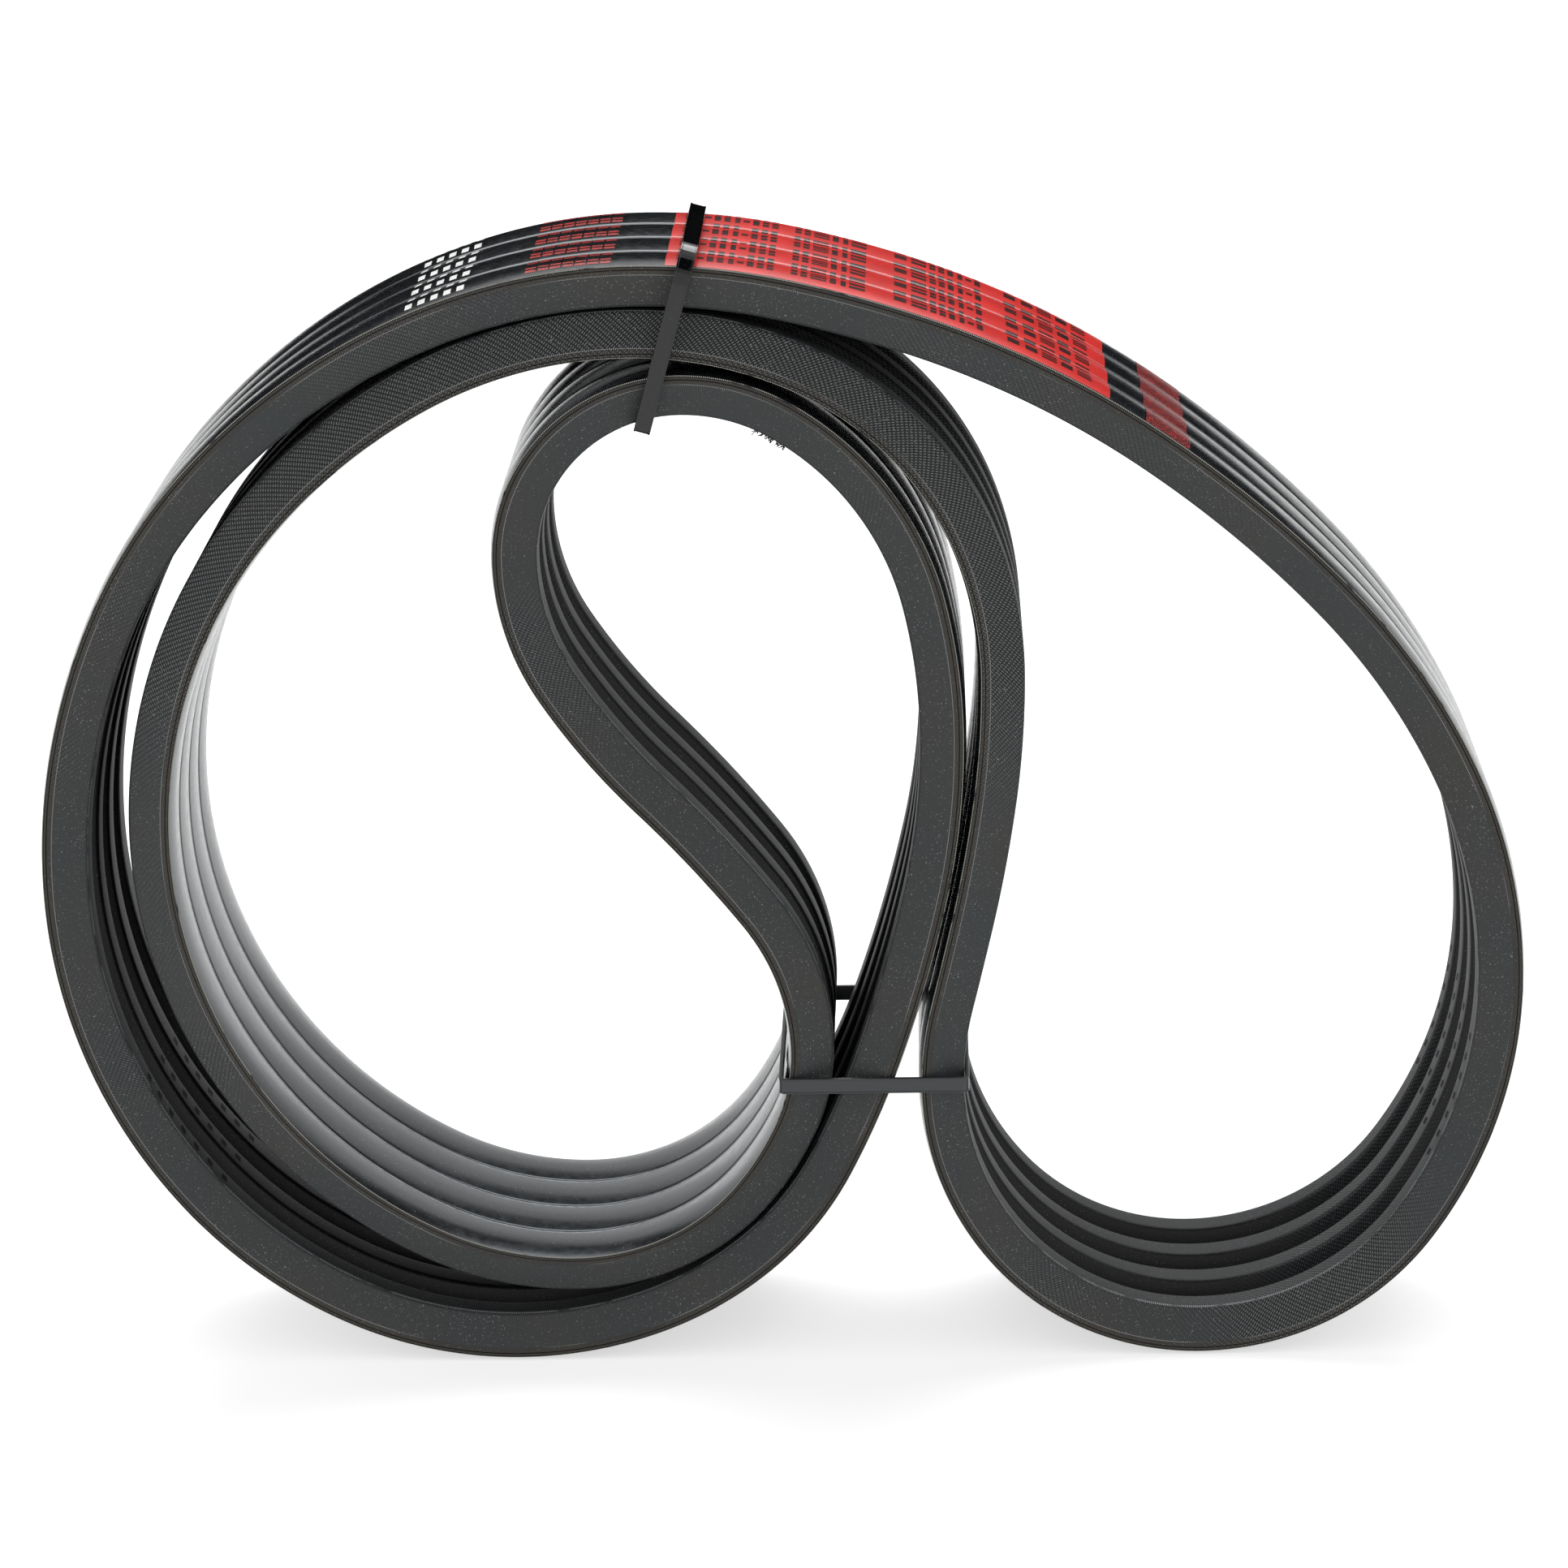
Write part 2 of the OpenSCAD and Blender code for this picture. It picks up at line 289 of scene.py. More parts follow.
class Paint:
    """A material's node tree, with a short call for each node used here."""

    def __init__(self, name, roughness=0.5, specular=0.5):
        self.material = bpy.data.materials.new(name)
        self.material.use_nodes = True
        self.tree = self.material.node_tree
        self.shader = self.tree.nodes["Principled BSDF"]
        self.shader.inputs["Roughness"].default_value = roughness
        self.shader.inputs["Specular IOR Level"].default_value = specular

    def make(self, kind, inputs=(), **settings):
        node = self.tree.nodes.new("ShaderNode" + kind)
        for key, value in settings.items():
            setattr(node, key, value)
        for index, value in (inputs.items() if isinstance(inputs, dict) else enumerate(inputs)):
            if isinstance(value, bpy.types.NodeSocket):
                self.tree.links.new(value, node.inputs[index])
            else:
                node.inputs[index].default_value = value
        return node

    def math(self, operation, a, b=0.0):
        return self.make("Math", (a, b), operation=operation).outputs[0]

    def mix(self, share, a, b):
        return self.make("Mix", {0: share, 6: a, 7: b}, data_type="RGBA").outputs[2]

    def lay(self):
        """Lengths along and around the piece, in metres."""
        split = self.make("SeparateXYZ", (self.make("UVMap", uv_map="lay").outputs[0],))
        return split.outputs[0], split.outputs[1]

    def place(self):
        return self.make("TexCoord").outputs["Object"]

    def noise(self, scale, detail=2.0, vector=None):
        """Noise from 0 to 1 with scale bumps in a metre."""
        inputs = {"Vector": vector or self.place(), "Scale": scale, "Detail": detail}
        return self.make("TexNoise", inputs).outputs[0]

    def between(self, value, low, high):
        """value as a share of the way from low to high, kept between 0 and 1."""
        node = self.make("MapRange", {"Value": value, "From Min": low, "From Max": high})
        return node.outputs[0]

    def wave(self, value, pitch):
        """A wave from 0 to 1 along a length."""
        turned = self.math("SINE", self.math("MULTIPLY", value, math.tau / pitch))
        return self.math("MULTIPLY_ADD", turned, 0.5)

    def weave(self, pitch):
        """Height of crossing threads that run slantwise along the piece."""
        s, w = self.lay()
        up = self.wave(self.math("ADD", s, w), pitch)
        down = self.wave(self.math("SUBTRACT", s, w), pitch)
        return self.math("MAXIMUM", self.math("MULTIPLY", up, up), self.math("MULTIPLY", down, down))

    def slanting(self, pitch):
        """Short threads that show on the slant, broken up along their length."""
        s, w = self.lay()
        thread = self.between(self.wave(self.math("SUBTRACT", s, w), pitch), 0.55, 0.95)
        breaks = self.between(self.wave(self.math("ADD", s, w), 1.7 * pitch), 0.2, 0.6)
        return self.math("MULTIPLY", thread, breaks)

    def bump(self, height, distance, strength=1.0, under=None):
        inputs = {"Height": height, "Distance": distance, "Strength": strength}
        if under is not None:
            inputs["Normal"] = under
        return self.make("Bump", inputs).outputs[0]

    def set(self, **sockets):
        names = {"colour": "Base Color", "roughness": "Roughness", "normal": "Normal"}
        for key, value in sockets.items():
            self.tree.links.new(value, self.shader.inputs[names[key]])
        return self.material


def rubber_fabric(name, base, brown, light, roughness, specular, weave_depth, bare="#06080b"):
    """Rubberised fabric: rubbed smooth and brownish in places, with dust specks. Where the weave shows, the
    fabric is bare and darker, with light slanting threads painted on as the weave's highlights."""
    p = Paint(name, roughness, specular)
    along_belt = p.lay()[0]
    begins = p.between(along_belt, WOVEN_FROM - WOVEN_FADE, WOVEN_FROM)
    ends = p.between(along_belt, WOVEN_TO + WOVEN_FADE, WOVEN_TO)
    bent = p.math("MULTIPLY", begins, ends)
    woven = p.math("MAXIMUM", bent, p.between(p.noise(9, 2), 0.55, 0.72))
    weave = p.weave(0.95 * MM)
    # Light slanting threads where the weave shows: painted highlights on the weave's threads.
    threads = p.math("MULTIPLY", p.slanting(1.05 * MM), p.math("MULTIPLY", woven, 0.5))
    rubbed = p.between(p.noise(28, 4), 0.35, 0.7)
    specks = p.between(p.noise(2300, 2), 0.66, 0.7)
    patches = p.between(p.noise(40, 3), 0.15, 0.6)
    colour = p.mix(rubbed, ink(base), ink(brown))
    colour = p.mix(p.math("MULTIPLY", woven, 0.9), colour, ink(bare))
    colour = p.mix(threads, colour, ink(light))
    colour = p.mix(p.math("MULTIPLY", specks, p.math("MULTIPLY", patches, 0.75)), colour, ink(light))
    grain = p.bump(p.noise(1200, 3), 0.03 * MM, 0.5)
    strength = p.between(woven, -0.2, 1.0)
    return p.set(colour=colour, normal=p.bump(weave, weave_depth * MM, strength, grain))


def back_fabric(name):
    """The band's back: the same fabric, calendered smooth and glossy, with a bluish sheen."""
    p = Paint(name, 0.2)
    p.shader.inputs["Specular Tint"].default_value = (0.84, 0.93, 1.0, 1)
    cloudy = p.between(p.noise(60, 4), 0.3, 0.7)
    specks = p.between(p.noise(1300, 2), 0.69, 0.73)
    colour = p.mix(cloudy, ink("#0e1012"), ink("#17191c"))
    colour = p.mix(p.math("MULTIPLY", specks, 0.5), colour, ink("#77797b"))
    rough = p.between(p.noise(400, 4), 0.2, 0.8)
    rough.node.inputs["To Min"].default_value = 0.15
    rough.node.inputs["To Max"].default_value = 0.27
    grain = p.bump(p.noise(900, 3), 0.015 * MM, 0.5)
    return p.set(colour=colour, roughness=rough, normal=p.bump(p.weave(0.9 * MM), 0.008 * MM, 0.5, grain))


def printed(name, main, under, wear, roughness=0.3, specular=0.5):
    """Ink on the belt, rubbed through to the fabric in grains."""
    p = Paint(name, roughness, specular)
    grains = p.between(p.noise(2200, 2), wear, wear + 0.08)
    clouds = p.between(p.noise(120, 3), 0.3, 0.75)
    colour = p.mix(p.math("MULTIPLY", clouds, 0.25), ink(main), ink(under))
    colour = p.mix(grains, colour, ink(under))
    return p.set(colour=colour, normal=p.bump(p.weave(0.9 * MM), 0.008 * MM, 0.5))


def thread_paint(name, light, dark, pitch, share, patches=120):
    """Thread ends that show as light dots along a line, rubbed away in patches (so many in a metre)."""
    p = Paint(name, 0.6, 0.3)
    along_belt = p.lay()[0]
    dots = p.between(p.wave(along_belt, pitch), 0.4, 0.6)
    kept = p.between(p.noise(patches, 4), 0.6 - share / 3, 0.68 - share / 3)
    return p.set(colour=p.mix(p.math("MULTIPLY", dots, kept), ink(dark), ink(light)))


def plain_rubber(name, main, light, roughness):
    p = Paint(name, roughness)
    cloudy = p.between(p.noise(400, 4), 0.3, 0.7)
    colour = p.mix(cloudy, ink(main), ink(light))
    return p.set(colour=colour, normal=p.bump(p.noise(1500, 4), 0.03 * MM, 0.6))


def cord_yarn(name):
    """Twisted cord: slanting plies."""
    p = Paint(name, 0.75)
    plies = p.make("TexWave", {"Vector": p.place(), "Scale": 600.0, "Distortion": 2.0}).outputs["Fac"]
    colour = p.mix(plies, ink("#a79c82"), ink("#e0d8c4"))
    return p.set(colour=colour, normal=p.bump(plies, 0.08 * MM))


def nylon(name, base, roughness):
    """Moulded black nylon, with fine streaks along the strap and a few scuffs."""
    p = Paint(name, roughness)
    scuffs = p.between(p.noise(700, 5), 0.62, 0.75)
    colour = p.mix(p.math("MULTIPLY", scuffs, 0.5), ink(base), ink("#2e3032"))
    return p.set(colour=colour, normal=p.bump(p.noise(300, 2), 0.02 * MM, 0.3))


# The weave shows most on the top of the inner ring, between these lengths along the belt in metres
WOVEN_FROM = along(-170, 225) * MM
WOVEN_TO = along(63, 217) * MM
WOVEN_FADE = 0.05           # the weave fades in and out over this length

FLANK_FABRIC = rubber_fabric("flank_fabric", "#25292b", "#2a2a27", "#8d8f8f", 0.5, 0.38, 0.09)
# Flanks that face a neighbouring rib are coloured near-black: painted shade of the deep grooves between the
# ribs.
INNER_FLANK_PAINTED_SHADE = rubber_fabric("inner_flank_painted_shade", "#0a0b0d", "#0e0e0f", "#5d6166", 0.4, 0.28, 0.12)
RIB_FACE = rubber_fabric("rib_face", "#1c1f21", "#202221", "#7c7f80", 0.6, 0.25, 0.05)
BAND_EDGE = rubber_fabric("band_edge", "#262522", "#2e2a24", "#7d7b76", 0.5, 0.35, 0.04, "#1b1a18")
BACK_FABRIC = back_fabric("back_fabric")
# Light grey on the front-facing side of each groove in the back: partly wear, partly painted highlight.
GROOVE_WEAR_AND_HIGHLIGHT = plain_rubber("groove_wear_and_highlight", "#7e8185", "#a2a5a9", 0.3)
TIE_NYLON = nylon("tie_nylon", "#060708", 0.14)
# The lower tie's nylon is coloured lighter grey as a painted sheen: the reflection that its upward-tilted
# front face takes from the bright room.
LOWER_TIE_PAINTED_SHEEN = nylon("lower_tie_painted_sheen", "#2a2c2e", 0.3)
PAWL_NYLON = nylon("pawl_nylon", "#0b0c0d", 0.3)
CUSHION_GUM = plain_rubber("cushion_gum", "#151517", "#232325", 0.6)
CORE_RUBBER = plain_rubber("core_rubber", "#101112", "#1c1d1f", 0.7)
CORD_YARN = cord_yarn("cord_yarn")
RED_INK = printed("red_ink", "#c4231e", "#3a1413", 0.7)
DARK_INK = printed("dark_ink", "#0f0f11", "#8e1c19", 0.68)
WHITE_INK = printed("white_ink", "#e8e8e6", "#2a2c2e", 0.6)
DULL_RED_INK = printed("dull_red_ink", "#c02620", "#141518", 0.5)
RIB_INK = printed("rib_ink", "#040405", "#1c1f21", 0.7, 0.7, 0.1)
STAMP_INK = printed("stamp_ink", "#a8302d", "#141518", 0.44)
EDGE_DOTS = thread_paint("edge_dots", "#a9a79e", "#2c2d2c", 0.55 * MM, 0.85)
SEAM_LINE = thread_paint("seam_line", "#909291", "#2a2b2a", 0.6 * MM, 0.55, 14)
WORN_CORNER = thread_paint("worn_corner", "#74787a", "#303335", 0.7 * MM, 0.6)
DARK_CORNER = thread_paint("dark_corner", "#16181a", "#08090a", 0.7 * MM, 0.5)
BAND_PAINTS = [BACK_FABRIC, BAND_EDGE, EDGE_DOTS, GROOVE_WEAR_AND_HIGHLIGHT]


# ---- the belt ----

def rib_middle(n):
    """Middle of rib n across the belt, counted from the front."""
    return BELT_HALF_W - RIB_TOP_W / 2 - (n - 1) * RIB_PITCH


def half_w(depth):
    return RIB_TOP_W / 2 - (RIB_TOP - depth) * math.tan(FLANK_ANGLE)


CROWN_H = 0.7
VALLEY_D = 0.4              # groove between two crowns
VALLEY_W = 0.55
BRIGHT_W = 0.5              # side of the groove that faces the front, painted light: partly wear, partly painted highlight
EDGE_SLOPE_W = 9.0          # the back falls off towards its edges
EDGE_SLOPE_H = 0.4
EDGE_ROUND = 0.22
SEAM_DEPTH = 0.6            # where the band's fabric ends on the outer flanks
SEAM_W = 0.22
CORNER_R = 1.6
FROM_VALLEY = (0, 0.25, 0.5, 0.8, 1.2, 1.8, 2.8, 4.2, 6.0, 7.8)


def back_height(v):
    """Height of the belt's back over the cord line, at v across the belt."""
    phase = (v - rib_middle(RIB_COUNT)) / RIB_PITCH
    off = (phase - round(phase)) * 2                    # -1 and 1 in the valleys
    height = BACK - CROWN_H * off * off
    to_valley = (1 - abs(off)) * RIB_PITCH / 2
    to_edge = BELT_HALF_W - abs(v)
    if to_edge > RIB_PITCH / 2:
        height -= VALLEY_D * math.exp(-(to_valley / VALLEY_W) ** 2)
    if to_edge < EDGE_SLOPE_W:
        height -= EDGE_SLOPE_H * (1 - to_edge / EDGE_SLOPE_W) ** 2
    return height


def back_places(low, high):
    """Places across the back where its surface is sampled, closest together near the valleys."""
    places = {low, high}
    for n in range(RIB_COUNT + 1):
        valley = rib_middle(n) - RIB_PITCH / 2
        for reach in FROM_VALLEY:
            places.update(v for v in (valley - reach, valley + reach) if low < v < high)
    return sorted(places)


def belt_piece(name, outline, materials, zone=None):
    piece = sweep(name, WAY, HEADINGS, LENGTHS, outline, materials, UPRIGHT, BELT_LENGTH, zone)
    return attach(piece, "bundle")


def groove_wear_and_highlight(v):
    """Whether v is on the front-facing side of a groove between two crowns, painted light as wear and
    painted highlight.
    """
    if abs(v) > BELT_HALF_W - RIB_PITCH / 2:
        return False
    return (rib_middle(RIB_COUNT) + RIB_PITCH / 2 - v) % RIB_PITCH < BRIGHT_W


def band_zone(depth, v):
    """0 for the back, 1 for the band's edges, 2 for the line of thread ends between them, 3 for the
    front-facing sides of grooves, painted light as wear and painted highlight.
    """
    to_edge = BELT_HALF_W - abs(v)
    if to_edge > EDGE_ROUND:
        return 3 if depth > BAND_MIDDLE + 0.2 and groove_wear_and_highlight(v) else 0
    return 2 if to_edge > 0 else 1


def band_outer():
    """The ply that carries the crowned back."""
    edge = BELT_HALF_W
    low = BAND_MIDDLE + 0.1
    side = back_height(edge) - EDGE_ROUND
    top = [(back_height(v), v) for v in back_places(-edge + EDGE_ROUND, edge - EDGE_ROUND)]
    outline = [(low, edge), (low, -edge), (side, -edge), *top, (side, edge)]
    piece = belt_piece("band_outer_ply_back", np.array(outline), BAND_PAINTS, band_zone)
    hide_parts("band_outer_ply")


def band_inner():
    edge = BELT_HALF_W - 0.05
    outline = rounded([(BAND_BOTTOM, -edge), (BAND_MIDDLE, -edge), (BAND_MIDDLE, edge), (BAND_BOTTOM, edge)],
                      [0.2] * 4, 3)
    piece = belt_piece("band_inner_ply_edge", outline, [BAND_EDGE])
    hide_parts("band_inner_ply")


# Places of a wrap's materials in its list
OUTER_FLANK_ZONE, INNER_FLANK_ZONE, FACE_ZONE, WORN_ZONE, DARK_ZONE, EDGE_ZONE, SEAM_ZONE = range(7)


def wrap_zone(n):
    """Which material lies where on the wrap of rib n."""
    corner = half_w(RIB_BOTTOM) - CORNER_R * 0.7

    def zone(depth, v):
        v = v - rib_middle(n)
        outer = (n == 1 and v > 0) or (n == RIB_COUNT and v < 0)
        if depth < RIB_BOTTOM + 0.05 and abs(v) < corner:
            return FACE_ZONE
        if depth < RIB_BOTTOM + 0.2:
            return WORN_ZONE if outer else DARK_ZONE
        # Flanks that face a neighbouring rib get the near-black painted shade of the groove.
        if not outer:
            return INNER_FLANK_ZONE
        if depth > SEAM_DEPTH + SEAM_W / 2:
            return EDGE_ZONE
        return SEAM_ZONE if depth > SEAM_DEPTH - SEAM_W / 2 else OUTER_FLANK_ZONE

    return zone


def rib_wrap(n):
    """The fabric wrapped round a rib: rounded at the V's bottom and top corners."""
    depths = (RIB_BOTTOM, SEAM_DEPTH - SEAM_W / 2, SEAM_DEPTH + SEAM_W / 2, RIB_TOP)
    rear = [(depth, -half_w(depth)) for depth in depths]
    front = [(depth, half_w(depth)) for depth in reversed(depths)]
    outline = rounded(rear + front, [CORNER_R, 0, 0, 0.3, 0.3, 0, 0, CORNER_R])
    outline = outline + np.array([0, rib_middle(n)])
    materials = [FLANK_FABRIC, INNER_FLANK_PAINTED_SHADE, RIB_FACE, WORN_CORNER, DARK_CORNER, BAND_EDGE, SEAM_LINE]
    piece = belt_piece(f"rib_{n}_wrap", outline, materials, wrap_zone(n))
    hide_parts(f"rib_{n}_cover")


band_outer()
band_inner()
for rib in range(1, RIB_COUNT + 1):
    rib_wrap(rib)


# ---- print on the back and on the ribs ----

FILM = 0.05                 # height of the ink over the surface


def print_patch(start, end, low, high, slant=0.0, surface=back_height, lift=FILM):
    """Points and faces of a film from start to end along the belt and from low to high across it. The
    front-facing sides of the back's grooves, painted light as wear and painted highlight, carry no ink."""
    rows = max(1, math.ceil(abs(end - start) / STEP))
    places = back_places(low, high)
    points = []
    for i in range(rows + 1):
        for v in places:
            at, heading = section_at(start + (end - start) * i / rows + slant * (v - low))
            points.append((*(at - left_of(heading) * (surface(v) + lift)), v))
    w = len(places)
    inked = [j for j in range(w - 1) if lift < 0 or not groove_wear_and_highlight((places[j] + places[j + 1]) / 2)]
    faces = [(i * w + j, (i + 1) * w + j, (i + 1) * w + j + 1, i * w + j + 1)
             for i in range(rows) for j in inked]
    outwards = (end > start) == (lift > 0)
    return points, faces if outwards else [face[::-1] for face in faces]


def print_piece(name, patches, material):
    """One object from many films."""
    points, faces = [], []
    for patch in patches:
        more, patch_faces = patch
        faces += [tuple(k + len(points) for k in face) for face in patch_faces]
        points += more
    uvs = [(points[k][0] + points[k][1], points[k][2]) for face in faces for k in face]
    piece = make_mesh(name, points, faces, uvs, [material], UPRIGHT)
    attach(piece, "bundle")


def over(x):
    """Length along the way of the top strand's point at x."""
    top = (WAY[:, 1] > 200) & (np.abs(HEADINGS % math.tau - math.pi) < math.radians(60))
    outer = top & (WAY[:, 1] > np.interp(WAY[:, 0], [-196, -133, -38, 46, 165], [229, 300, 330, 312, 228]))
    near = np.where(outer, np.abs(WAY[:, 0] - x), 1e9)
    return float(LENGTHS[int(np.argmin(near))])


# A mark is a list of bars in its own cell: (from, to) along the belt, then (from, to) across it, in shares
TWO_BARS = [(0, 0.32, 0, 1), (0.62, 1, 0, 1)]
TWO_DASHES = [(0, 1, 0, 0.36), (0, 1, 0.62, 1)]
THREE_DASHES = [(0, 1, 0, 0.22), (0, 1, 0.39, 0.61), (0, 1, 0.78, 1)]
FOUR_DOTS = [(0, 0.4, 0, 0.42), (0.6, 1, 0, 0.42), (0, 0.4, 0.58, 1), (0.6, 1, 0.58, 1)]
BAR_AND_DOT = [(0, 0.4, 0, 1), (0.6, 1, 0.3, 0.7)]
BLOCK = [(0.1, 0.9, 0.1, 0.9)]
MARKS = [TWO_BARS, TWO_DASHES, THREE_DASHES, FOUR_DOTS, BAR_AND_DOT, BLOCK]
ROW_PITCH = 9.35            # between rows of marks
MARK_MARGIN = 0.6           # from a mark to the belt's edge, at the least
LABEL_MARGIN = 0.5          # from the label or the stamp to the belt's edge


def rows_of_marks(start, lengths, gap, height, first_row, marks, lift=FILM):
    """The same line of marks, repeated across the belt. A length below zero is a space."""
    films = []
    row_count = math.ceil(2 * BELT_HALF_W / ROW_PITCH)
    for row in range(row_count):
        low = -BELT_HALF_W + first_row + row * ROW_PITCH
        at = start
        for number, length in enumerate(lengths):
            if length > 0:
                for a, b, c, d in marks[number % len(marks)]:
                    bottom = max(low + c * height, -BELT_HALF_W + MARK_MARGIN)
                    top = min(low + d * height, BELT_HALF_W - MARK_MARGIN)
                    if top > bottom:
                        films.append(print_patch(at + a * length, at + b * length, bottom, top, lift=lift))
            at += abs(length) + gap
    return films


def label():
    """Red label across the whole back, with rows of plain dark marks."""
    start, end = over(95), over(-28)
    end = end if end > start else end + BELT_LENGTH
    edge = BELT_HALF_W - LABEL_MARGIN
    print_piece("label_film", [print_patch(start, end, -edge, edge)], RED_INK)
    groups = [(3, 5), (5, 5), (6, 4), (3, 5)]           # space before a group, marks in it
    lengths = [size for space, count in groups for size in [-space] + [4.6] * count]
    order = random.Random(5)
    marks = [order.choice(MARKS) for _ in lengths]
    print_piece("label_marks",
                rows_of_marks(start + 2, lengths, 1.0, 6.2, -3, marks, lift=2 * FILM), DARK_INK)


def small_print():
    """Plain white blocks and red dashes left of the label, and a grainy red stamp to its right."""
    white = rows_of_marks(over(-84), [2.7] * 5, 1.2, 5.4, 1.2, [BLOCK])
    print_piece("white_marks", white, WHITE_INK)
    red = rows_of_marks(over(-45), [3] * 7, 0.5, 4.4, 1.6, [TWO_DASHES])
    print_piece("red_marks", red, DULL_RED_INK)
    edge = BELT_HALF_W - LABEL_MARGIN
    print_piece("red_stamp", [print_patch(over(117.5), over(105), -edge, edge)], STAMP_INK)


def rib_print():
    """Small plain dark marks on the bottoms of the ribs."""
    films = []
    places = [(-190, 75, 3), (204, 75, 2)]
    for x, z, spread in places:
        start = along(x, z)
        for n in range(1, RIB_COUNT + 1):
            for k in range(7):
                at = start + (k - 3) * 7 + n * 2.3
                low = rib_middle(n) - 1.5
                films.append(print_patch(at, at + 2.4, low, low + 2.6, 0.2, lambda v: RIB_BOTTOM, -FILM))
    print_piece("rib_marks", films, RIB_INK)


label()
small_print()
rib_print()


# ---- loose fibres ----

def frayed_nick():
    """Loose fibres at a small nick in the front rib's corner, at the top of the teardrop."""
    curve = bpy.data.curves.new("frayed_nick", "CURVE")
    curve.dimensions = "3D"
    curve.bevel_depth = 0.12 * MM
    draw = random.Random(11)
    start = along(7, 300)
    for _ in range(40):
        at, heading = section_at(start + draw.uniform(-6, 6))
        inwards = left_of(heading)
        v = rib_middle(1) + half_w(RIB_BOTTOM) * draw.uniform(0.3, 1.0)
        base = at - inwards * (RIB_BOTTOM + 0.1)
        reach = inwards * draw.uniform(0.4, 1.3) + direction(heading) * draw.uniform(-1.2, 1.2)
        spline = curve.splines.new("POLY")
        spline.points.add(3)
        for k, point in enumerate(spline.points):
            t = k / 3
            x, z = base + reach * t
            curl = draw.uniform(-0.3, 0.3) * t
            point.co = ((x + curl) * MM, -(v + 0.8 * t * t) * MM, (z + curl) * MM, 1)
    curve.materials.append(DARK_CORNER)
    made = bpy.data.objects.new("frayed_nick", curve)
    bpy.context.scene.collection.objects.link(made)
    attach(made, "bundle")


frayed_nick()


# ---- cable ties ----

def tie_way(half_length, bulge):
    """The middle line of a tie's strap, from its root in the head round to the end of its tail. A bulge
    makes the bend at its front corner broader and stand off from the belt."""
    across = TIE_HALF_D + TIE_T / 2
    out = half_length + TIE_T / 2
    corner = TIE_CORNER_R + TIE_T / 2
    end = HEAD_Y + HEAD_D + TAIL_L
    corners = [(ROOT_X, HEAD_Y + 1), (ROOT_X, across), (-out, across), (-out, -across),
               (out + bulge, -across - bulge), (out, across), (SLOT_X, across), (SLOT_X, end)]
    radii = [0, ROOT_BEND_R, corner, corner, corner + BULGE_ROUND * bulge, corner,
             TIE_BEND_R + TIE_T / 2, 0]
    return rounded(corners, radii, 12)


def spaced(line, step):
    """The same line with points no further apart than step."""
    made = [line[0]]
    for a, b in zip(line[:-1], line[1:]):
        count = max(1, math.ceil(np.linalg.norm(b - a) / step))
        made += [a + (b - a) * k / count for k in range(1, count + 1)]
    return np.array(made)


def headings_of(line):
    """Heading at each point, halfway between the pieces on both sides."""
    steps = np.diff(line, axis=0)
    turns = np.unwrap(np.arctan2(steps[:, 1], steps[:, 0]))
    return np.concatenate([[turns[0]], (turns[:-1] + turns[1:]) / 2, [turns[-1]]])


def tie_matrix(place):
    x, z, _, tilt = place
    return Matrix.Translation((x, 0, z)) @ Matrix.Rotation(math.radians(-tilt), 4, "Y")


def tie(name, place, bulge, paint, cad_node):
    line = spaced(tie_way(place[2], bulge), TOOTH_PITCH / 4)
    headings = headings_of(line)
    lengths = np.concatenate([[0], np.cumsum(np.linalg.norm(np.diff(line, axis=0), axis=1))])
    t, w = TIE_T / 2, TIE_W / 2
    rail, dip = 0.45, 0.15
    tail_from = lengths[-1] - HEAD_D - TAIL_L

    def outline(i):
        # The way turns left round the bundle, so the strap's outside is on its right. Near the tail
        # the inside has teeth, and the outside faces the back of the slot.
        phase = (lengths[i] - tail_from) / TOOTH_PITCH % 1
        tooth = TOOTH_D * max(0, 1 - phase / 0.8) if lengths[i] > tail_from else 0
        corners = [(-t + tooth, -w), (t, -w), (t, -w + rail), (t - dip, -w + rail + dip),
                   (t - dip, w - rail - dip), (t, w - rail), (t, w), (-t + tooth, w)]
        return rounded(corners, [0.15, 0.2, 0.1, 0, 0, 0.1, 0.2, 0.15], 3)

    piece = sweep(name, line, headings, lengths, outline, [paint], tie_matrix(place))
    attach(piece, "bundle")
    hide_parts(cad_node)


def lofted(name, loops, material, matrix):
    """A closed shell through loops of the same number of points, the last joined to the first."""
    count = len(loops[0])
    points = [point for loop in loops for point in loop]
    faces, uvs = [], []
    for i in range(len(loops)):
        n = (i + 1) % len(loops)
        for j in range(count):
            k = (j + 1) % count
            face = (i * count + j, i * count + k, n * count + k, n * count + j)
            faces.append(face)
            uvs += [(points[m][0] + points[m][1], points[m][2]) for m in face]
    return make_mesh(name, points, faces, uvs, [material], matrix)


def box_loop(left, right, half_width, radius, y):
    """A rounded rectangle square to the tail, at height y."""
    outline = rounded([(left, -half_width), (right, -half_width), (right, half_width), (left, half_width)],
                      [radius] * 4, 4)
    return [(x, y, z) for x, z in outline]


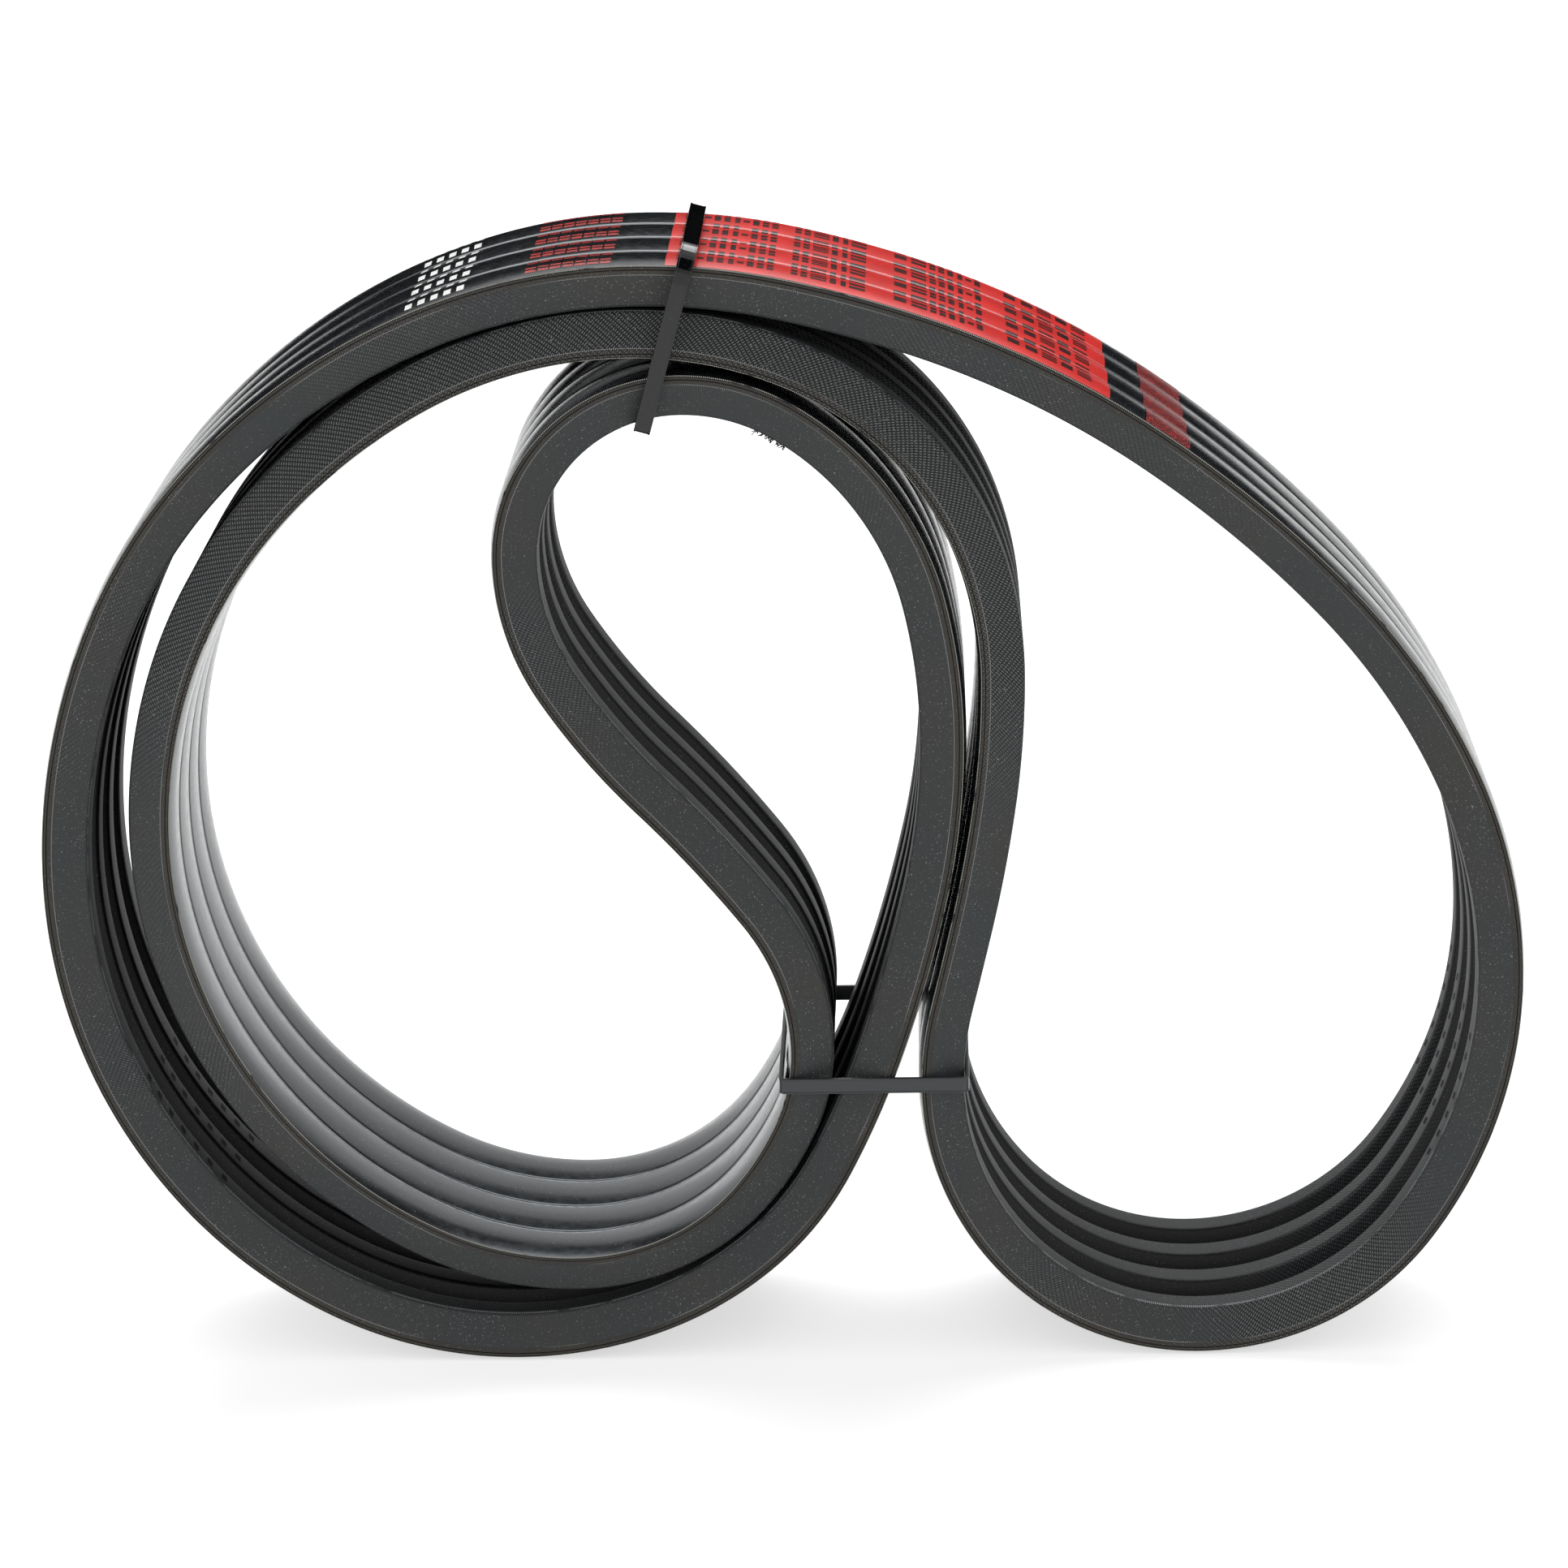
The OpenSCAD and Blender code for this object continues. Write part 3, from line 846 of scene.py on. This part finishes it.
def tie_head(name, place, cad_node):
    """The head: a rounded box with a slot right through it, a little narrower at its outer end."""
    half, top, edge = HEAD_L / 2, HEAD_Y + HEAD_D, 0.5
    loops = [
        box_loop(-half + edge, half - edge, HEAD_W / 2 - edge, 0.8, HEAD_Y),
        box_loop(-half, half, HEAD_W / 2, 1.1, HEAD_Y + edge),
        box_loop(-half + 0.1, half - 0.1, HEAD_W / 2 - 0.1, 1.1, top - edge),
        box_loop(-half + 0.25, half - 0.25, HEAD_W / 2 - 0.25, 1.0, top - 0.15),
        box_loop(-half + edge, half - edge, HEAD_W / 2 - edge, 0.8, top),
        box_loop(SLOT_LEFT - 0.2, SLOT_RIGHT + 0.2, SLOT_W / 2 + 0.2, 0.2, top),
        box_loop(SLOT_LEFT, SLOT_RIGHT, SLOT_W / 2, 0.2, top - 0.2),
        box_loop(SLOT_LEFT, SLOT_RIGHT, SLOT_W / 2, 0.2, HEAD_Y),
    ]
    piece = lofted(name, loops, TIE_NYLON, tie_matrix(place))
    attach(piece, "bundle")
    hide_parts(cad_node)


TIES = (("upper", UPPER_PLACE, 3.6, TIE_NYLON), ("lower", LOWER_PLACE, 0, LOWER_TIE_PAINTED_SHEEN))
for which, tie_place, tie_bulge, tie_paint in TIES:
    tie(f"{which}_tie_strap", tie_place, tie_bulge, tie_paint, f"{which}_tie")
    tie_head(f"{which}_tie_head", tie_place, f"{which}_tie")

# ---- finishes of the carried-over parts ----

FINISHES = {"cords": CORD_YARN, "gum": CUSHION_GUM, "cushion": CUSHION_GUM, "core": CORE_RUBBER,
            "pawl": PAWL_NYLON}
for node_name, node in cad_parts.items():
    finish = FINISHES.get(node_name.split("_")[-1])
    if finish:
        node.data.materials.clear()
        node.data.materials.append(finish)

# ---- floor, light and camera ----

def plane(name, size, location, rotation, material):
    mesh = bpy.data.meshes.new(name)
    x, y = size[0] / 2, size[1] / 2
    mesh.from_pydata([(-x, -y, 0), (x, -y, 0), (x, y, 0), (-x, y, 0)], [], [(0, 1, 2, 3)])
    mesh.materials.append(material)
    made = bpy.data.objects.new(name, mesh)
    made.location = location
    made.rotation_euler = rotation
    bpy.context.scene.collection.objects.link(made)
    return made


def floor_paint():
    p = Paint("floor_paint", 0.9, 0.1)
    p.shader.inputs["Base Color"].default_value = (0.5, 0.5, 0.5, 1)
    p.shader.inputs["Emission Color"].default_value = (1, 1, 1, 1)
    p.shader.inputs["Emission Strength"].default_value = 0.6
    return p.material


def black_card(name, size, location, rotation):
    p = Paint(name + "_paint", 1.0, 0.0)
    p.shader.inputs["Base Color"].default_value = (0, 0, 0, 1)
    card = plane(name, size, location, rotation, p.material)
    card.visible_camera = False
    card.visible_diffuse = False
    card.visible_shadow = False


def area_light(name, size, location, target, power):
    data = bpy.data.lights.new(name, "AREA")
    data.shape = "RECTANGLE"
    data.size, data.size_y = size
    data.energy = power
    made = bpy.data.objects.new(name, data)
    made.location = location
    made.rotation_euler = (Vector(target) - Vector(location)).to_track_quat("-Z", "Y").to_euler()
    bpy.context.scene.collection.objects.link(made)


def studio():
    plane("floor", (12, 12), (0, 0, 0), (0, 0, 0), floor_paint())
    world = bpy.data.worlds.new("studio")
    bpy.context.scene.world = world
    world.use_nodes = True
    world.node_tree.nodes["Background"].inputs[0].default_value = (1, 1, 1, 1)
    world.node_tree.nodes["Background"].inputs[1].default_value = 1.02
    # Black cards seen only by reflections keep the glossy top and the ties' bends dark
    upright = (math.radians(90), 0, 0)
    black_card("rear_card", (1.6, 0.295), (0, 0.45, 0.4375), upright)
    black_card("top_card", (1.2, 1.1), (0, -0.7, 1.2), (0, 0, 0))
    area_light("softbox", (2.4, 1.2), (0, 1.3, 2.2), (0, 0, 0.15), 50)
    bpy.context.scene.view_settings.view_transform = "Standard"


def camera():
    """Camera in front and a little above, at the height and distance that the object was seen from."""
    azimuth, elevation, roll = math.radians(-1.95), math.radians(18.95), math.radians(-1.39)
    distance, target = 1.350, Vector((0.0003, 0, 0.1734))
    forward = Vector((math.sin(azimuth) * math.cos(elevation), math.cos(azimuth) * math.cos(elevation),
                      -math.sin(elevation)))
    right = Vector((math.cos(azimuth), -math.sin(azimuth), 0))
    up = right.cross(forward)
    turned_right = right * math.cos(roll) + up * math.sin(roll)
    turned_up = up * math.cos(roll) - right * math.sin(roll)
    data = bpy.data.cameras.new("camera")
    data.sensor_width = 36
    data.lens = 102.63
    made = bpy.data.objects.new("camera", data)
    turn = Matrix((turned_right, turned_up, -forward)).transposed().to_4x4()
    made.matrix_world = Matrix.Translation(target - forward * distance) @ turn
    bpy.context.scene.collection.objects.link(made)
    bpy.context.scene.camera = made


studio()
camera()
